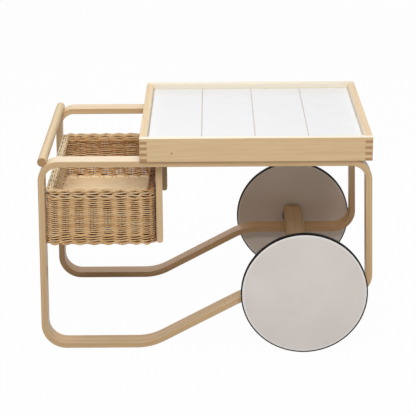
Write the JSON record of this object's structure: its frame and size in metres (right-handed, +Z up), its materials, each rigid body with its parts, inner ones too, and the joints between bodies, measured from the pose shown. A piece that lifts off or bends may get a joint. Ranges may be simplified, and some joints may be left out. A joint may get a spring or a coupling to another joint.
{
  "type": "tea trolley",
  "caption": "Tea trolley with bentwood side loops, a tiled tray with a finger-jointed rim, a wicker basket under the push handle and plain disc wheels.",
  "frame": {"origin": "on the floor, under the middle of the whole trolley", "axes": "+Z up, +X from the push handle towards the wheels, +Y to the left of someone pushing"},
  "size_m": [0.9, 0.65, 0.6],
  "materials": {
    "birch": "clear satin lacquer",
    "birch_plywood": "sanded",
    "white_tile": "glossy glaze",
    "tile_joint": "matte",
    "wheel_lacquer": "satin lacquer",
    "black_rubber": "matte rubber",
    "bright_steel": "zinc plated",
    "black_steel": "black lacquer",
    "nylon": "natural nylon",
    "willow_wicker": "natural willow"
  },
  "bodies": {
    "frame": {"axle_beam": "birch", "axle_beam_screws": "bright_steel", "basket_base_board": "birch_plywood", "basket_foot_border": "willow_wicker", "basket_hanger_left": "birch", "basket_hanger_right": "birch", "basket_rim": "willow_wicker", "basket_screws": "bright_steel", "basket_straps": "black_steel", "basket_woven_wall": "willow_wicker", "handle_screws": "bright_steel", "hanger_screws": "bright_steel", "left_axle_bush": "nylon", "left_frame_loop": "birch", "left_retaining_screw": "bright_steel", "left_thrust_washer": "nylon", "push_handle": "birch", "right_axle_bush": "nylon", "right_frame_loop": "birch", "right_retaining_screw": "bright_steel", "right_thrust_washer": "nylon", "strap_screws": "bright_steel", "tile_1": "white_tile", "tile_2": "white_tile", "tile_3": "white_tile", "tile_4": "white_tile", "tile_joint_filler": "tile_joint", "tray_base_panel": "birch_plywood", "tray_cross_bearer": "birch", "tray_handle_end_board": "birch", "tray_left_board": "birch", "tray_right_board": "birch", "tray_screws": "bright_steel", "tray_wheel_end_board": "birch"},
    "right_wheel": {"right_wheel_disc": "wheel_lacquer", "right_wheel_tyre": "black_rubber", "right_stub_axle": "bright_steel", "right_flange_screws": "bright_steel"},
    "left_wheel": {"left_wheel_disc": "wheel_lacquer", "left_wheel_tyre": "black_rubber", "left_stub_axle": "bright_steel", "left_flange_screws": "bright_steel"}
  },
  "joints": [
    {"name": "right_wheel_spin", "type": "hinge", "parent": "frame", "child": "right_wheel", "pos_m": [0.265, -0.318, 0.171], "axis": [0, 1, 0], "continuous": true},
    {"name": "left_wheel_spin", "type": "hinge", "parent": "frame", "child": "left_wheel", "pos_m": [0.265, 0.318, 0.171], "axis": [0, 1, 0], "continuous": true}
  ]
}
